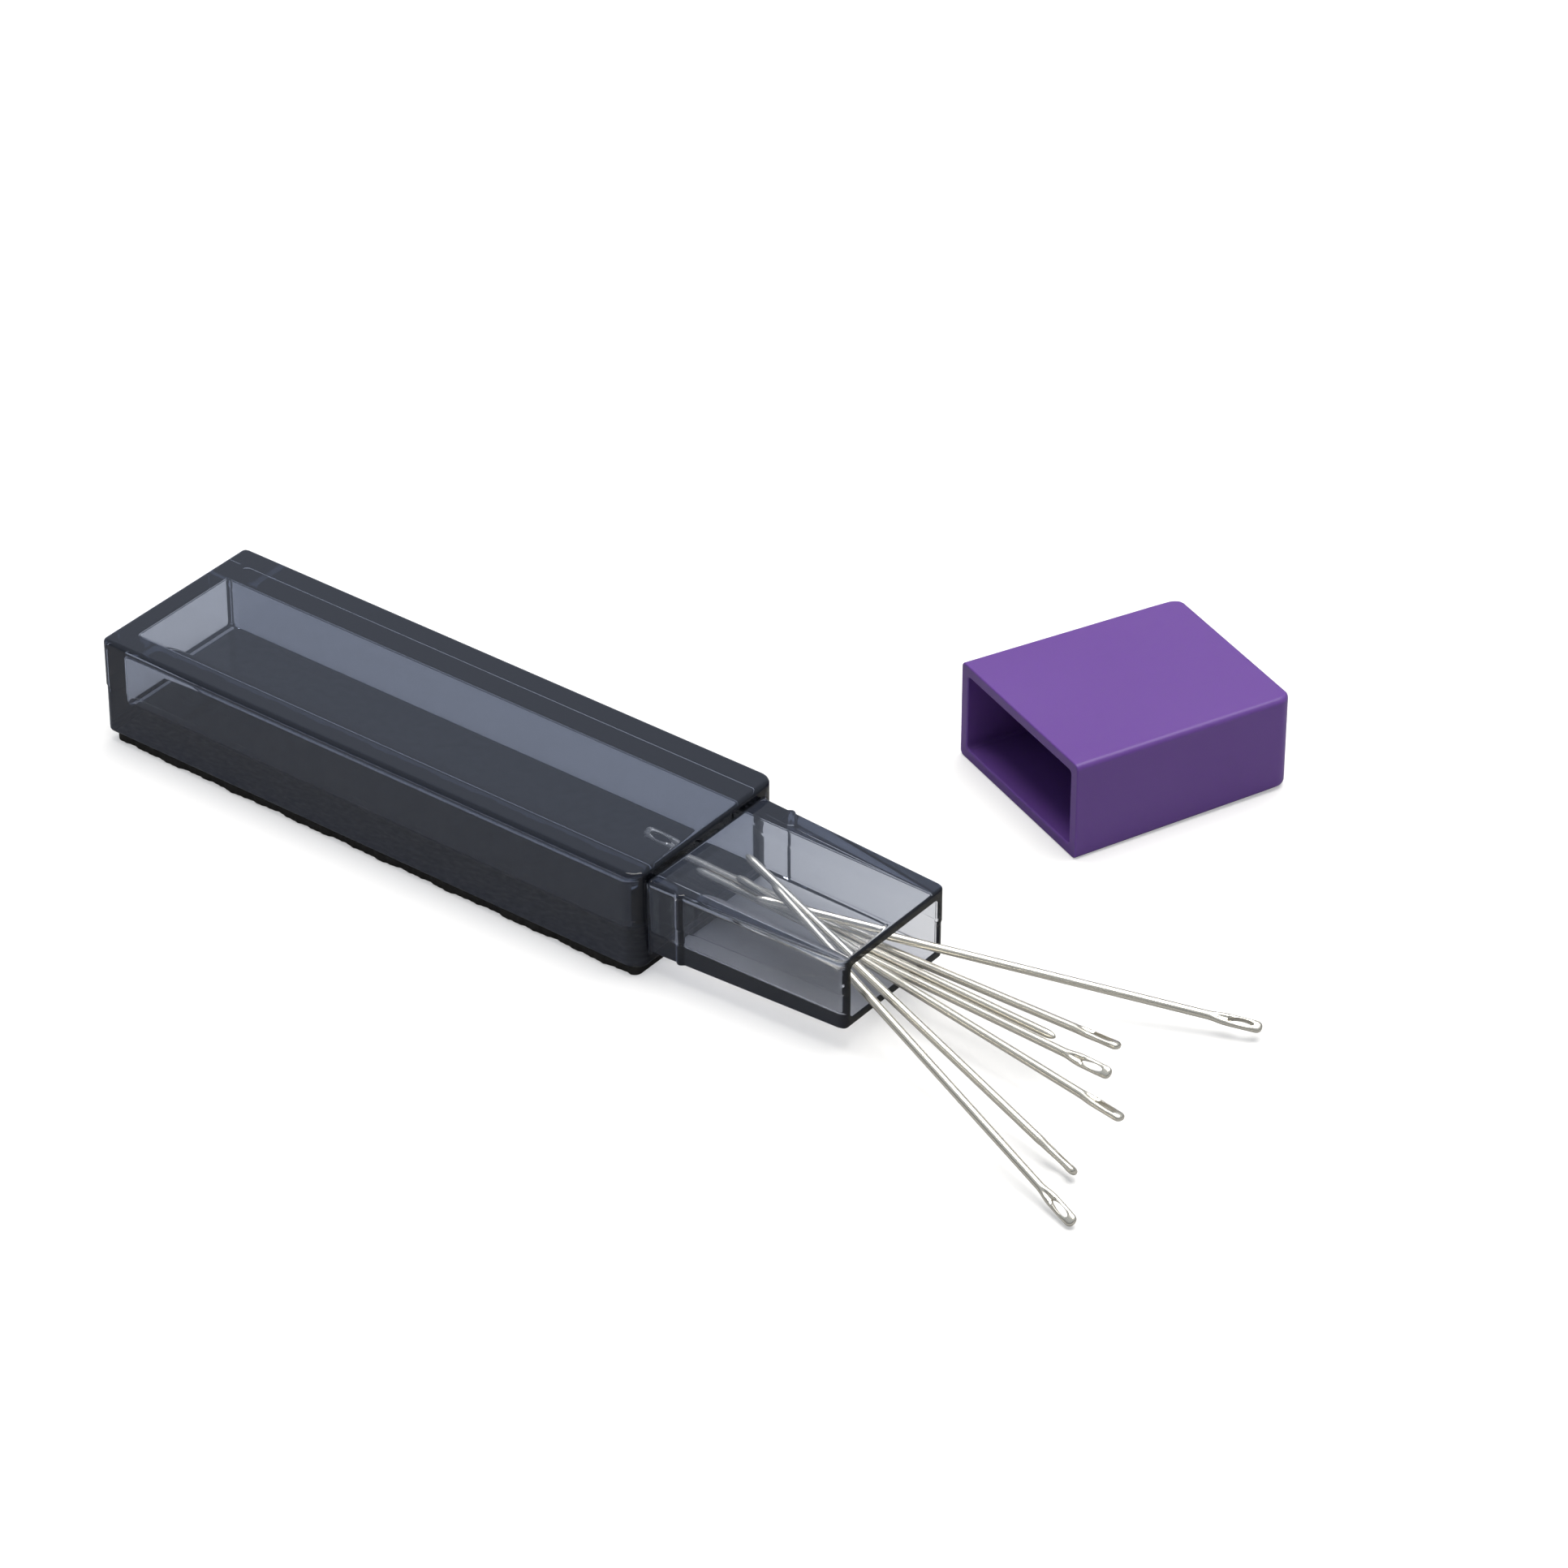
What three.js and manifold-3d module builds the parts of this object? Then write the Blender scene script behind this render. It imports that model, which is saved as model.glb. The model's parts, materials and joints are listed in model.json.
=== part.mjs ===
// A transparent needle case with its slip-on cap taken off, and seven large-eye needles fanned out of its mouth.
// Millimetres, +Z up, +X along the case towards its open mouth. The origin is the centre of the strip's underside.
import * as THREE from "three";
import { mergeVertices } from "three/addons/utils/BufferGeometryUtils.js";
import Module from "manifold-3d";

const wasm = await Module();
wasm.setup();

// Driving dimensions of the case.
const CASE_WIDTH = 25;
const CASE_HEIGHT = 12.7;
const BODY_LENGTH = 78.5;
const NECK_LENGTH = 25.8;
const STRIP_THICKNESS = 1.2;
const CAVITY_WIDTH = 15.7;
const CAVITY_HEIGHT = 6.8;
const END_WALL = 1.3;

// Driving dimensions of a needle.
const SHAFT_DIAMETER = 1;
const SHAFT_SIDES = 12;
const NEEDLE_LENGTH = 57;
const TIP_LENGTH = 1.4;
const TIP_STEPS = 4;
const HEAD_WIDTH = 1.46;
const HEAD_THICKNESS = 0.88;
const HEAD_LENGTH = 6.2;
const HEAD_OVERLAP = 1;
const HEAD_EASE = 0.8;
const EYE_LENGTH = 2.9;
const EYE_WIDTH = 0.8;
const EYE_END_WALL = 0.95;
const EYE_STEPS = 6;

// The neck narrows from its root to its mouth, and a snap bead stands on each narrow side.
const NECK_ROOT_WIDTH = 20.4;
const NECK_ROOT_HEIGHT = 9.6;
const NECK_MOUTH_WIDTH = 18;
const NECK_MOUTH_HEIGHT = 9.2;
const BEAD_RADIUS = 0.6;
const BEAD_STAND = 0.35;
const BEAD_FROM_SHOULDER = 4;
const BEAD_SIDES = 16;

// The cap is as wide and high as the case at its mouth, and a little smaller at its closed end.
const CAP_LENGTH = 29.2;
const CAP_END_WIDTH = 24.2;
const CAP_END_HEIGHT = 12.2;
const CAP_WALL = 1.4;
const CAP_DEPTH = NECK_LENGTH + 0.8;
const CAP_HEADING = THREE.MathUtils.degToRad(67.4);
const CAP_MOUTH_FROM_SHOULDER = 12.6;
const CAP_MOUTH_ASIDE = 40.7;

// Roundings.
const LONG_EDGE_RADIUS = 0.6;
const CLOSED_CORNER_RADIUS = 0.9;
const SHOULDER_CORNER_RADIUS = 2;
const NECK_EDGE_RADIUS = 0.4;
const CAVITY_EDGE_RADIUS = 0.6;
const CAP_EDGE_RADIUS = 0.7;
const CAP_END_CORNER_RADIUS = 1.6;
const CAP_MOUTH_CORNER_RADIUS = 0.1;
const ARC_STEPS = 5;
const STRIP_INSET_ENDS = 0.8;
const STRIP_INSET_SIDES = 0.4;
const STRIP_CORNER_RADIUS = 1;
const OVERSHOOT = 2;

// Places that follow from them.
const SHOULDER_X = BODY_LENGTH / 2;
const MOUTH_X = SHOULDER_X + NECK_LENGTH;
const CASE_MIDDLE_Z = STRIP_THICKNESS + CASE_HEIGHT / 2;

// Where each needle crosses the plane of the mouth, and how it lies there. Heading and tilt are those of the
// needle as it goes into the case: heading turns towards +Y, and tilt raises the end inside. Roll turns the eye.
const NEEDLES = [
  { name: "needle_1", y: 5.94, z: 5.92, heading: -23.43, tilt: 6.79, outside: 37.5, roll: 20 },
  { name: "needle_2", y: 4.2, z: 4.74, heading: -1.52, tilt: 0, outside: 26.4, roll: -15 },
  { name: "needle_3", y: 2.07, z: 5.32, heading: 1.08, tilt: 0.63, outside: 20.2, roll: 40, reversed: true },
  { name: "needle_4", y: 0.73, z: 5.29, heading: 1.09, tilt: 1.01, outside: 28.5, roll: 40 },
  { name: "needle_5", y: -1.03, z: 5.85, heading: 6.36, tilt: 2.85, outside: 33.8, roll: -10 },
  { name: "needle_6", y: -3.94, z: 6.79, heading: 14.24, tilt: 9.30, outside: 34.4, roll: -45 },
  { name: "needle_7", y: -6.37, z: 7.52, heading: 18.49, tilt: 9.73, outside: 40.0, roll: 40 },
];

const smokePlastic = { color: 0x6a7080, roughness: 0.08, metalness: 0, transparent: true, opacity: 0.45 };
const purplePlastic = { color: 0x7a5aa6, roughness: 0.3, metalness: 0 };
const blackStrip = { color: 0x151310, roughness: 0.8, metalness: 0 };
const nickelSteel = { color: 0xc8c4b4, roughness: 0.22, metalness: 1 };

// A closed three.js geometry as a manifold solid: only positions count, and shared corners are merged.
function solid(geometry) {
  geometry.deleteAttribute("normal");
  geometry.deleteAttribute("uv");
  const merged = mergeVertices(geometry, 1e-4);
  return new wasm.Manifold(
    new wasm.Mesh({
      numProp: 3,
      vertProperties: merged.getAttribute("position").array,
      triVerts: new Uint32Array(merged.index.array),
    }),
  );
}

function namedMesh(name, manifold, look) {
  const { vertProperties, triVerts } = manifold.getMesh();
  const geometry = new THREE.BufferGeometry();
  geometry.setAttribute("position", new THREE.BufferAttribute(vertProperties, 3));
  geometry.setIndex(new THREE.BufferAttribute(triVerts, 1));
  geometry.computeVertexNormals();
  const mesh = new THREE.Mesh(geometry, new THREE.MeshStandardMaterial(look));
  mesh.name = name;
  return mesh;
}

// A rectangle centred on the origin, with its own radius at the low-u corners and at the high-u corners.
function roundedRectangle(lengthU, lengthV, lowRadius, highRadius = lowRadius) {
  const u = lengthU / 2;
  const v = lengthV / 2;
  const shape = new THREE.Shape();
  shape.absarc(-u + lowRadius, -v + lowRadius, lowRadius, Math.PI, 1.5 * Math.PI);
  shape.absarc(u - highRadius, -v + highRadius, highRadius, 1.5 * Math.PI, 2 * Math.PI);
  shape.absarc(u - highRadius, v - highRadius, highRadius, 0, 0.5 * Math.PI);
  shape.absarc(-u + lowRadius, v - lowRadius, lowRadius, 0.5 * Math.PI, Math.PI);
  shape.closePath();
  return shape;
}

// A bar along +X from startX, with a rounded section that is width by height at its start, centred on z.
// The far end is scaled to endWidth by endHeight.
function bar(startX, length, width, height, radius, z, endWidth = width, endHeight = height) {
  const geometry = new THREE.ExtrudeGeometry(roundedRectangle(width, height, radius), {
    depth: length,
    bevelEnabled: false,
    curveSegments: ARC_STEPS,
  });
  const position = geometry.getAttribute("position");
  for (let i = 0; i < position.count; i += 1) {
    const along = position.getZ(i) / length;
    const across = position.getX(i) * THREE.MathUtils.lerp(1, endWidth / width, along);
    const up = position.getY(i) * THREE.MathUtils.lerp(1, endHeight / height, along);
    position.setXYZ(i, startX + position.getZ(i), across, z + up);
  }
  return solid(geometry);
}

// A plate in the XY plane with rounded corners, from z = bottom upwards.
function plate(centreX, lengthX, lengthY, bottom, height, lowRadius, highRadius = lowRadius) {
  const geometry = new THREE.ExtrudeGeometry(roundedRectangle(lengthX, lengthY, lowRadius, highRadius), {
    depth: height,
    bevelEnabled: false,
    curveSegments: ARC_STEPS,
  });
  geometry.translate(centreX, 0, bottom);
  return solid(geometry);
}

// An upright snap bead that stands proud of the neck's side; side is -1 or 1.
function snapBead(side) {
  const along = BEAD_FROM_SHOULDER / NECK_LENGTH;
  const neckHalfWidth = THREE.MathUtils.lerp(NECK_ROOT_WIDTH, NECK_MOUTH_WIDTH, along) / 2;
  const height = NECK_MOUTH_HEIGHT - 2 * NECK_EDGE_RADIUS;
  const geometry = new THREE.CylinderGeometry(BEAD_RADIUS, BEAD_RADIUS, height, BEAD_SIDES);
  geometry.rotateX(Math.PI / 2);
  const y = side * (neckHalfWidth - BEAD_RADIUS + BEAD_STAND);
  geometry.translate(SHOULDER_X + BEAD_FROM_SHOULDER, y, CASE_MIDDLE_Z);
  return solid(geometry);
}

// The body is a long rounded bar whose upright corners are rounded too, and one straight cavity runs through
// the neck and the body to the end wall.
function caseBody() {
  const section = bar(
    -SHOULDER_X - OVERSHOOT,
    BODY_LENGTH + 2 * OVERSHOOT,
    CASE_WIDTH,
    CASE_HEIGHT,
    LONG_EDGE_RADIUS,
    CASE_MIDDLE_Z,
  );
  const outline = plate(
    0,
    BODY_LENGTH,
    CASE_WIDTH,
    STRIP_THICKNESS,
    CASE_HEIGHT,
    CLOSED_CORNER_RADIUS,
    SHOULDER_CORNER_RADIUS,
  );
  const neck = bar(
    SHOULDER_X - OVERSHOOT,
    NECK_LENGTH + OVERSHOOT,
    NECK_ROOT_WIDTH,
    NECK_ROOT_HEIGHT,
    NECK_EDGE_RADIUS,
    CASE_MIDDLE_Z,
    NECK_MOUTH_WIDTH,
    NECK_MOUTH_HEIGHT,
  );
  const cavity = bar(
    -SHOULDER_X + END_WALL,
    MOUTH_X + SHOULDER_X - END_WALL + OVERSHOOT,
    CAVITY_WIDTH,
    CAVITY_HEIGHT,
    CAVITY_EDGE_RADIUS,
    CASE_MIDDLE_Z,
  );
  const body = section.intersect(outline).add(neck).add(snapBead(-1)).add(snapBead(1)).subtract(cavity);
  return namedMesh("case_body", body, smokePlastic);
}

function baseStrip() {
  const strip = plate(
    0,
    BODY_LENGTH - 2 * STRIP_INSET_ENDS,
    CASE_WIDTH - 2 * STRIP_INSET_SIDES,
    0,
    STRIP_THICKNESS,
    STRIP_CORNER_RADIUS,
  );
  return namedMesh("base_strip", strip, blackStrip);
}

// The cap is made with its mouth at its own origin and its closed end towards +X, resting on z = 0.
function cap() {
  const middleZ = CASE_HEIGHT / 2;
  const outside = bar(
    0,
    CAP_LENGTH,
    CASE_WIDTH,
    CASE_HEIGHT,
    CAP_EDGE_RADIUS,
    middleZ,
    CAP_END_WIDTH,
    CAP_END_HEIGHT,
  );
  const outline = plate(
    (CAP_LENGTH - OVERSHOOT) / 2,
    CAP_LENGTH + OVERSHOOT,
    CASE_WIDTH,
    0,
    CASE_HEIGHT,
    CAP_MOUTH_CORNER_RADIUS,
    CAP_END_CORNER_RADIUS,
  );
  const hollow = bar(
    -OVERSHOOT,
    CAP_DEPTH + OVERSHOOT,
    CASE_WIDTH - 2 * CAP_WALL,
    CASE_HEIGHT - 2 * CAP_WALL,
    NECK_EDGE_RADIUS,
    middleZ,
    CAP_END_WIDTH - 2 * CAP_WALL,
    CAP_END_HEIGHT - 2 * CAP_WALL,
  );
  const mesh = namedMesh("cap", outside.intersect(outline).subtract(hollow), purplePlastic);
  mesh.position.set(SHOULDER_X + CAP_MOUTH_FROM_SHOULDER, CAP_MOUTH_ASIDE, 0);
  mesh.rotation.z = CAP_HEADING;
  return mesh;
}

// A needle lies along -X from its eye end at the origin to its blunt tip.
function shaft() {
  const radius = SHAFT_DIAMETER / 2;
  const start = HEAD_LENGTH - HEAD_OVERLAP;
  const profile = [new THREE.Vector2(0, start), new THREE.Vector2(radius, start)];
  for (let i = 0; i < TIP_STEPS; i += 1) {
    const angle = (i / TIP_STEPS) * (Math.PI / 2);
    const along = NEEDLE_LENGTH - TIP_LENGTH * (1 - Math.sin(angle));
    profile.push(new THREE.Vector2(radius * Math.cos(angle), along));
  }
  profile.push(new THREE.Vector2(0, NEEDLE_LENGTH));
  const geometry = new THREE.LatheGeometry(profile, SHAFT_SIDES);
  geometry.rotateZ(Math.PI / 2);
  return solid(geometry);
}

// The flattened head, seen from its broad side: a round end, the full width over the eye, and a taper to the shaft.
function head() {
  const outline = new THREE.Shape();
  const half = HEAD_WIDTH / 2;
  const neckHalf = SHAFT_DIAMETER / 2;
  const fullUntil = EYE_END_WALL + EYE_LENGTH;
  outline.absarc(-half, 0, half, -Math.PI / 2, Math.PI / 2);
  outline.lineTo(-fullUntil, half);
  const easeIn = -fullUntil - HEAD_EASE;
  const easeOut = -HEAD_LENGTH + HEAD_EASE;
  outline.bezierCurveTo(easeIn, half, easeOut, neckHalf, -HEAD_LENGTH, neckHalf);
  outline.lineTo(-HEAD_LENGTH, -neckHalf);
  outline.bezierCurveTo(easeOut, -neckHalf, easeIn, -half, -fullUntil, -half);
  outline.closePath();
  const eyeHalf = EYE_WIDTH / 2;
  const eye = new THREE.Path();
  eye.absarc(-EYE_END_WALL - eyeHalf, 0, eyeHalf, -Math.PI / 2, Math.PI / 2);
  eye.absarc(-EYE_END_WALL - EYE_LENGTH + eyeHalf, 0, eyeHalf, Math.PI / 2, 1.5 * Math.PI);
  eye.closePath();
  outline.holes.push(eye);
  const geometry = new THREE.ExtrudeGeometry(outline, {
    depth: HEAD_THICKNESS,
    bevelEnabled: false,
    curveSegments: EYE_STEPS,
  });
  geometry.translate(0, 0, -HEAD_THICKNESS / 2);
  return solid(geometry);
}

// Places a needle so that it crosses the mouth's plane where its entry in NEEDLES says.
// A reversed needle has its eye inside the case.
function needle({ name, y, z, heading, tilt, outside, roll, reversed }) {
  const mesh = namedMesh(name, shaft().add(head()), nickelSteel);
  mesh.rotation.x = THREE.MathUtils.degToRad(roll);
  if (reversed) {
    mesh.rotation.y = Math.PI;
    mesh.position.x = -NEEDLE_LENGTH;
  }
  const aimed = new THREE.Group();
  aimed.rotation.set(0, THREE.MathUtils.degToRad(tilt), -THREE.MathUtils.degToRad(heading), "ZYX");
  aimed.position.set(MOUTH_X, y, z);
  const drawnOut = new THREE.Group();
  drawnOut.position.x = outside;
  drawnOut.add(mesh);
  aimed.add(drawnOut);
  return aimed;
}

const group = new THREE.Group();
group.add(caseBody(), baseStrip(), cap(), ...NEEDLES.map(needle));

export default group;
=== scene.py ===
"""The looks of a transparent needle case, its slip-on cap and seven large-eye needles.
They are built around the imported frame."""

import json
import math

import bpy
import numpy as np
from mathutils import Matrix, Vector


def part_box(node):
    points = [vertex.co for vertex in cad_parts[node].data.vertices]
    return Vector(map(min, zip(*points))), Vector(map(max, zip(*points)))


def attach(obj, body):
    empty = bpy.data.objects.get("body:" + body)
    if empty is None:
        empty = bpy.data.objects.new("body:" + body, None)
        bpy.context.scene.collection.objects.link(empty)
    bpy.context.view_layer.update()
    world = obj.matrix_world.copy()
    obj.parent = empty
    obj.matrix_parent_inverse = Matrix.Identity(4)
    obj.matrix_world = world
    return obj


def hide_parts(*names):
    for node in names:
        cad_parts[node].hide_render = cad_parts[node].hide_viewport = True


bl_info = {
    "name": "Needle case",
    "version": (1, 0, 0),
    "blender": (4, 5, 0),
    "location": "3D View > Sidebar > Needle case",
    "description": "Builds a transparent needle case, its cap and its needles around a packed frame",
    "category": "Object",
}

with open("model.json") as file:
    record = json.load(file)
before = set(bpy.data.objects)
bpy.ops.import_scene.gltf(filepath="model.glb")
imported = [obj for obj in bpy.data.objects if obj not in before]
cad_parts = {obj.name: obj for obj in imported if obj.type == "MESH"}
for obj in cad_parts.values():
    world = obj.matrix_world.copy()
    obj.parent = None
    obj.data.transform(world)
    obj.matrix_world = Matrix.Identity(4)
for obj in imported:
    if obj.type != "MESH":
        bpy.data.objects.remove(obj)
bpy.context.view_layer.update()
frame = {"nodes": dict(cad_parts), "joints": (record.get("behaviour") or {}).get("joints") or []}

MM = 0.001
NEEDLE_NODES = sorted(name for name in frame["nodes"] if name.startswith("needle_"))
CASE_LOW, CASE_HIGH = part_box("case_body")
STRIP_LOW, STRIP_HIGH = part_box("base_strip")
CAP_AXIS = next(joint["axis"] for joint in frame["joints"] if joint["name"] == "cap_slide")
PLASTIC_IOR = 1.5
# An end's flat face closes on a slit of this half height.
SLIT_HALF_HEIGHT = 0.3 * MM
# Least radius of the corners of any ring near an end.
LEAST_CORNER = 0.1 * MM
# The mould seam's groove: heights of its two columns over the middle, and its depth as a share of the step.
SEAM_HEIGHTS = np.array([0.08, 0.2]) * MM
SEAM_GROOVE_SHARE = 0.7
# The needle's eye end is rounded over this length.
EYE_END_ROUND = 0.75 * MM


# ---------------------------------------------------------------- settings


def length(name, description, default):
    """A length in metres that a user may change."""
    return bpy.props.FloatProperty(
        name=name, description=description, default=default, unit="LENGTH", precision=5
    )


def colour(name, description, default):
    """A linear colour that a user may change."""
    return bpy.props.FloatVectorProperty(
        name=name, description=description, default=default, subtype="COLOR", size=3, min=0, max=1
    )


def amount(name, description, default, high=1.0):
    """A plain number that a user may change."""
    return bpy.props.FloatProperty(name=name, description=description, default=default, min=0, max=high)


def angle(name, description, degrees):
    """An angle that a user may change, given in degrees."""
    return bpy.props.FloatProperty(
        name=name, description=description, default=math.radians(degrees), subtype="ANGLE"
    )


class CaseSettings(bpy.types.PropertyGroup):
    """Sizes and colours of the transparent case and of the strip under it."""

    body_length: length("Body length", "From the closed end to the shoulder", 78.5 * MM)
    edge_radius: length("Edge radius", "Rounding of the body's long edges", 0.6 * MM)
    end_radius: length("End radius", "Rounding of the closed end", 0.9 * MM)
    shoulder_radius: length("Shoulder radius", "Rounding of the shoulder's upright corners", 2.0 * MM)
    neck_root_width: length("Neck width at its root", "Width of the neck at the shoulder", 20.4 * MM)
    neck_root_height: length("Neck height at its root", "Height of the neck at the shoulder", 9.6 * MM)
    neck_mouth_width: length("Neck width at its mouth", "Width of the neck at its open end", 18.0 * MM)
    neck_mouth_height: length("Neck height at its mouth", "Height of the neck at its open end", 9.2 * MM)
    neck_radius: length("Neck edge radius", "Rounding of the neck's long edges", 0.4 * MM)
    cavity_width: length("Cavity width", "Width of the space for the needles", 15.7 * MM)
    cavity_height: length("Cavity height", "Height of the space for the needles", 6.8 * MM)
    end_wall: length("End wall", "Thickness of the closed end's wall", 1.3 * MM)
    seam_step: length("Seam step", "How far the upper mould half stands proud of the lower one", 0.15 * MM)
    bead_stand: length("Bead stand", "How far a snap bead stands proud of the neck", 0.35 * MM)
    bead_from_shoulder: length("Bead place", "From the shoulder to the middle of a snap bead", 4.0 * MM)
    bead_half_width: length("Bead half width", "Half of a snap bead's width", 0.6 * MM)
    tint: colour("Tint", "Colour that the smoke tint lets through", (0.15, 0.215, 0.35))
    tint_density: amount("Tint density", "How strongly the plastic absorbs, per metre", 274.0, 2000.0)
    # Painted sheen: this colour glows on the plastic for the camera alone as a painted reflection; no lamp
    # gives it.
    painted_sheen: colour("Veil", "Colour of the wide soft light that the plastic reflects", (0.57, 0.66, 0.94))
    strip_colour: colour("Strip colour", "Colour of the strip", (0.0075, 0.0065, 0.0055))


class CapSettings(bpy.types.PropertyGroup):
    """Sizes and colours of the slip-on cap."""

    length: length("Length", "From the mouth to the closed end", 29.2 * MM)
    mouth_width: length("Mouth width", "Outer width at the mouth", 25.0 * MM)
    mouth_height: length("Mouth height", "Outer height at the mouth", 12.7 * MM)
    end_width: length("End width", "Outer width at the closed end", 24.2 * MM)
    end_height: length("End height", "Outer height at the closed end", 12.2 * MM)
    wall: length("Wall", "Thickness of the wall", 1.4 * MM)
    depth: length("Depth", "From the mouth to the bottom of the hollow", 26.6 * MM)
    edge_radius: length("Edge radius", "Rounding of the long edges", 0.7 * MM)
    end_corner_radius: length("End corner radius", "Rounding of the closed end's upright corners", 1.8 * MM)
    rim_radius: length("Rim radius", "Rounding of the mouth's rim", 0.2 * MM)
    plastic: colour("Plastic", "Colour of the plastic", (0.124, 0.058, 0.256))
    deep_plastic: colour(
        "Deep plastic", "Colour of the plastic where its pigment is denser", (0.117, 0.052, 0.245)
    )


class NeedleSettings(bpy.types.PropertyGroup):
    """Sizes and colours that all the needles share."""

    shaft_radius: length("Shaft radius", "Radius of the round shaft", 0.5 * MM)
    tip_length: length("Tip length", "Length of the blunt rounded tip", 1.4 * MM)
    head_half_width: length("Head half width", "Half of the head's breadth over the eye", 0.73 * MM)
    head_half_thickness: length("Head half thickness", "Half of the head's thickness", 0.44 * MM)
    head_length: length("Head length", "From the eye end to the round shaft", 6.2 * MM)
    eye_start: length("Eye start", "From the eye end to the eye", 0.95 * MM)
    eye_length: length("Eye length", "Length of the eye", 2.9 * MM)
    eye_half_width: length("Eye half width", "Half of the eye's width", 0.39 * MM)
    groove_depth: length("Groove depth", "Depth of the groove that leads into the eye", 0.24 * MM)
    steel: colour("Steel", "Colour of the plated steel", (0.82, 0.79, 0.71))


class StageSettings(bpy.types.PropertyGroup):
    """Camera, light, surroundings and floor."""

    azimuth: angle("Azimuth", "Camera's place around the case", 37.481)
    elevation: angle("Elevation", "Camera's height as an angle", 34.225)
    roll: angle("Roll", "Camera's turn about its own line of sight", 0.129)
    target: bpy.props.FloatVectorProperty(
        name="Target",
        description="Point that the camera looks at",
        default=(0.04034, 0.01238, 0.01347),
        size=3,
        subtype="XYZ",
        unit="LENGTH",
    )
    distance: length("Distance", "From the target to the camera", 728.7 * MM)
    lens: bpy.props.FloatProperty(name="Lens", description="Focal length in millimetres", default=150.91)
    key_power: amount("Key power", "Power of the large light above, in watts", 13.0, 1000.0)
    sky: amount("Sky", "Strength of the light from all around", 0.45, 10.0)
    whitening: amount("Whitening", "Extra light that the floor shows to the camera alone", 0.37, 10.0)
    floor_colour: colour("Floor colour", "Colour of the floor", (0.6, 0.6, 0.6))


# ---------------------------------------------------------------- meshes


def outward(points, quads):
    """The quads, all turned round if the signed volume that they enclose is negative."""
    a, b, c, d = (points[quads[:, k]] for k in range(4))
    volume = np.einsum("ij,ij->", a, np.cross(b, c)) + np.einsum("ij,ij->", a, np.cross(c, d))
    return quads if volume > 0 else quads[:, ::-1]


def area_normals(points, quads):
    """Normal of each point: the sum of its quads' normals, each as long as twice the quad's area, made one
    long. So a broad flat face keeps its own normal up to its edge, and the rounding beside it does the
    turning."""
    a, b, c, d = (points[quads[:, k]] for k in range(4))
    quad_normal = np.cross(c - a, d - b)
    total = np.zeros_like(points)
    for k in range(4):
        np.add.at(total, quads[:, k], quad_normal)
    return total / np.maximum(np.linalg.norm(total, axis=1, keepdims=True), 1e-30)


def put_mesh(name, points, quads, material, uv=None):
    """A named object at the origin, from an array of points and an array of quads. uv has a row for each
    point."""
    quads = outward(points, quads)
    mesh = bpy.data.meshes.new(name)
    mesh.from_pydata(points.tolist(), [], quads.tolist())
    mesh.shade_smooth()
    mesh.normals_split_custom_set_from_vertices(area_normals(points, quads).tolist())
    if uv is not None:
        layer = mesh.uv_layers.new(name="along")
        layer.data.foreach_set("uv", uv[quads.ravel()].ravel())
    mesh.materials.append(material)
    made = bpy.data.objects.new(name, mesh)
    bpy.context.scene.collection.objects.link(made)
    return made


def ring_quads(rings, columns):
    """Quads between neighbouring rings, each of which closes on itself. The points hold ring after ring."""
    first = np.arange(rings - 1)[:, None] * columns
    here = np.arange(columns)
    after = (here + 1) % columns
    corners = [first + here, first + after, first + columns + after, first + columns + here]
    return np.stack(corners, axis=-1).reshape(-1, 4)


def closing_quads(first, columns):
    """Quads that close a ring: each column is joined to the column below it, which counts from the ring's
    other end."""
    upper = np.arange(columns // 2 - 1)
    lower = columns - 1 - upper
    return first + np.stack([upper, upper + 1, lower - 1, lower], axis=-1)


def lofted(rings):
    """Points and quads of a closed body, from an array of rings by columns by 3. Its two end rings are
    closed flat."""
    count, columns, _ = rings.shape
    sides = ring_quads(count, columns)
    start = closing_quads(0, columns)[:, ::-1]
    end = closing_quads((count - 1) * columns, columns)
    return rings.reshape(-1, 3), np.concatenate([sides, start, end])


def rounded_sections(x, half_width, half_height, radius, seam_step):
    """Rings across X, one for each entry of the arrays, as rings by columns by 3, centred on Y and Z.
    A ring is a rectangle with round corners: each corner column stands at the corner of the inner rectangle
    plus the radius times the cosine and sine of its angle. Two columns on each side, just above and below
    the middle, carry the mould seam: a shallow groove, and all above it is moved out by the step."""
    turn = np.linspace(0, math.pi / 2, 8)
    cos, sin = np.cos(turn), np.sin(turn)
    wide = half_width[:, None] + seam_step[:, None]
    corner_y = wide - radius[:, None] * (1 - cos)
    corner_z = half_height[:, None] - radius[:, None] * (1 - sin)
    seam_limit = half_height[:, None] * 0.5 * np.array([0.5, 1.0])
    quarter_y = np.hstack([wide - SEAM_GROOVE_SHARE * seam_step[:, None], wide, corner_y])
    quarter_z = np.hstack([np.minimum(SEAM_HEIGHTS, seam_limit), corner_z])
    upper_y = np.hstack([quarter_y, -quarter_y[:, ::-1]])
    upper_z = np.hstack([quarter_z, quarter_z[:, ::-1]])
    lower_y = upper_y - np.sign(upper_y) * seam_step[:, None]
    y = np.hstack([upper_y, lower_y[:, ::-1]])
    z = np.hstack([upper_z, -upper_z[:, ::-1]])
    return np.stack([np.broadcast_to(x[:, None], y.shape), y, z], axis=-1)


def rounding(radius_y, radius_z, steps=12):
    """Distances from an end plane, and how far a ring at each is inset on Y and on Z, for a convex
    quarter-round edge of each radius: the inset is the radius less the root of the radius squared less the
    square of the radius less the distance."""
    distance = max(radius_y, radius_z) * (1 - np.cos(np.linspace(0, math.pi / 2, steps)))
    insets = []
    for radius in (radius_y, radius_z):
        left = np.clip(radius - distance, 0, None)
        insets.append(radius - np.sqrt(np.maximum(radius**2 - left**2, 0)))
    return distance, insets[0], insets[1]


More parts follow.
